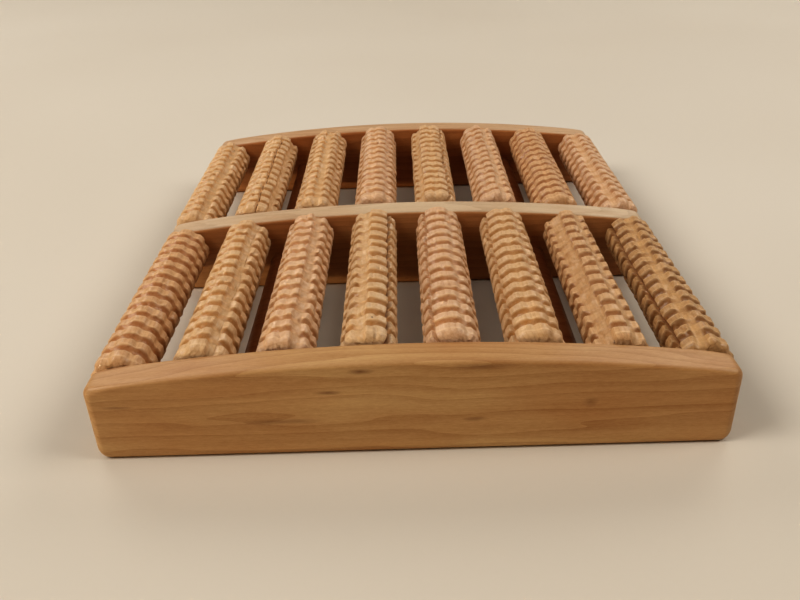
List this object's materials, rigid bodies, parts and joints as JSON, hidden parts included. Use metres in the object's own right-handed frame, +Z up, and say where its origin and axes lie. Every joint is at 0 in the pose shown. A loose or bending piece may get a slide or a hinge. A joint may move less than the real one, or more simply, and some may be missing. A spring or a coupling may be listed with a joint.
{
  "type": "foot massage roller",
  "caption": "Wooden foot massager: low arched boards joined by dowel rails hold rows of free-turning ridged and fluted rollers on steel axles.",
  "frame": {"origin": "on the resting surface, under the middle of the frame", "axes": "+Z up, +Y along the rollers from the front board to the rear board, +X along the boards"},
  "size_m": [0.234, 0.268, 0.0422],
  "materials": {
    "board_wood": "satin varnish",
    "rail_wood": "plain turned wood",
    "roller_wood": "rough-cut wood with thin varnish",
    "axle_steel": "plain drawn rod"
  },
  "bodies": {
    "frame": {"board_front": "board_wood", "board_middle": "board_wood", "board_rear": "board_wood", "rail_left": "rail_wood", "rail_right": "rail_wood", "axle_1": "axle_steel", "axle_2": "axle_steel", "axle_3": "axle_steel", "axle_4": "axle_steel", "axle_5": "axle_steel", "axle_6": "axle_steel", "axle_7": "axle_steel", "axle_8": "axle_steel"},
    "roller_front_1": {"roller_front_1": "roller_wood"},
    "roller_front_2": {"roller_front_2": "roller_wood"},
    "roller_front_3": {"roller_front_3": "roller_wood"},
    "roller_front_4": {"roller_front_4": "roller_wood"},
    "roller_front_5": {"roller_front_5": "roller_wood"},
    "roller_front_6": {"roller_front_6": "roller_wood"},
    "roller_front_7": {"roller_front_7": "roller_wood"},
    "roller_front_8": {"roller_front_8": "roller_wood"},
    "roller_rear_1": {"roller_rear_1": "roller_wood"},
    "roller_rear_2": {"roller_rear_2": "roller_wood"},
    "roller_rear_3": {"roller_rear_3": "roller_wood"},
    "roller_rear_4": {"roller_rear_4": "roller_wood"},
    "roller_rear_5": {"roller_rear_5": "roller_wood"},
    "roller_rear_6": {"roller_rear_6": "roller_wood"},
    "roller_rear_7": {"roller_rear_7": "roller_wood"},
    "roller_rear_8": {"roller_rear_8": "roller_wood"}
  },
  "joints": [
    {"name": "roller_front_1_spin", "type": "hinge", "parent": "frame", "child": "roller_front_1", "pos_m": [-0.10605, -0.06375, 0.02374], "axis": [0, 1, 0], "continuous": true},
    {"name": "roller_front_2_spin", "type": "hinge", "parent": "frame", "child": "roller_front_2", "pos_m": [-0.07575, -0.06375, 0.0275], "axis": [0, 1, 0], "continuous": true},
    {"name": "roller_front_3_spin", "type": "hinge", "parent": "frame", "child": "roller_front_3", "pos_m": [-0.04545, -0.06375, 0.03], "axis": [0, 1, 0], "continuous": true},
    {"name": "roller_front_4_spin", "type": "hinge", "parent": "frame", "child": "roller_front_4", "pos_m": [-0.01515, -0.06375, 0.03124], "axis": [0, 1, 0], "continuous": true},
    {"name": "roller_front_5_spin", "type": "hinge", "parent": "frame", "child": "roller_front_5", "pos_m": [0.01515, -0.06375, 0.03124], "axis": [0, 1, 0], "continuous": true},
    {"name": "roller_front_6_spin", "type": "hinge", "parent": "frame", "child": "roller_front_6", "pos_m": [0.04545, -0.06375, 0.03], "axis": [0, 1, 0], "continuous": true},
    {"name": "roller_front_7_spin", "type": "hinge", "parent": "frame", "child": "roller_front_7", "pos_m": [0.07575, -0.06375, 0.0275], "axis": [0, 1, 0], "continuous": true},
    {"name": "roller_front_8_spin", "type": "hinge", "parent": "frame", "child": "roller_front_8", "pos_m": [0.10605, -0.06375, 0.02374], "axis": [0, 1, 0], "continuous": true},
    {"name": "roller_rear_1_spin", "type": "hinge", "parent": "frame", "child": "roller_rear_1", "pos_m": [-0.10605, 0.06375, 0.02374], "axis": [0, 1, 0], "continuous": true},
    {"name": "roller_rear_2_spin", "type": "hinge", "parent": "frame", "child": "roller_rear_2", "pos_m": [-0.07575, 0.06375, 0.0275], "axis": [0, 1, 0], "continuous": true},
    {"name": "roller_rear_3_spin", "type": "hinge", "parent": "frame", "child": "roller_rear_3", "pos_m": [-0.04545, 0.06375, 0.03], "axis": [0, 1, 0], "continuous": true},
    {"name": "roller_rear_4_spin", "type": "hinge", "parent": "frame", "child": "roller_rear_4", "pos_m": [-0.01515, 0.06375, 0.03124], "axis": [0, 1, 0], "continuous": true},
    {"name": "roller_rear_5_spin", "type": "hinge", "parent": "frame", "child": "roller_rear_5", "pos_m": [0.01515, 0.06375, 0.03124], "axis": [0, 1, 0], "continuous": true},
    {"name": "roller_rear_6_spin", "type": "hinge", "parent": "frame", "child": "roller_rear_6", "pos_m": [0.04545, 0.06375, 0.03], "axis": [0, 1, 0], "continuous": true},
    {"name": "roller_rear_7_spin", "type": "hinge", "parent": "frame", "child": "roller_rear_7", "pos_m": [0.07575, 0.06375, 0.0275], "axis": [0, 1, 0], "continuous": true},
    {"name": "roller_rear_8_spin", "type": "hinge", "parent": "frame", "child": "roller_rear_8", "pos_m": [0.10605, 0.06375, 0.02374], "axis": [0, 1, 0], "continuous": true}
  ]
}
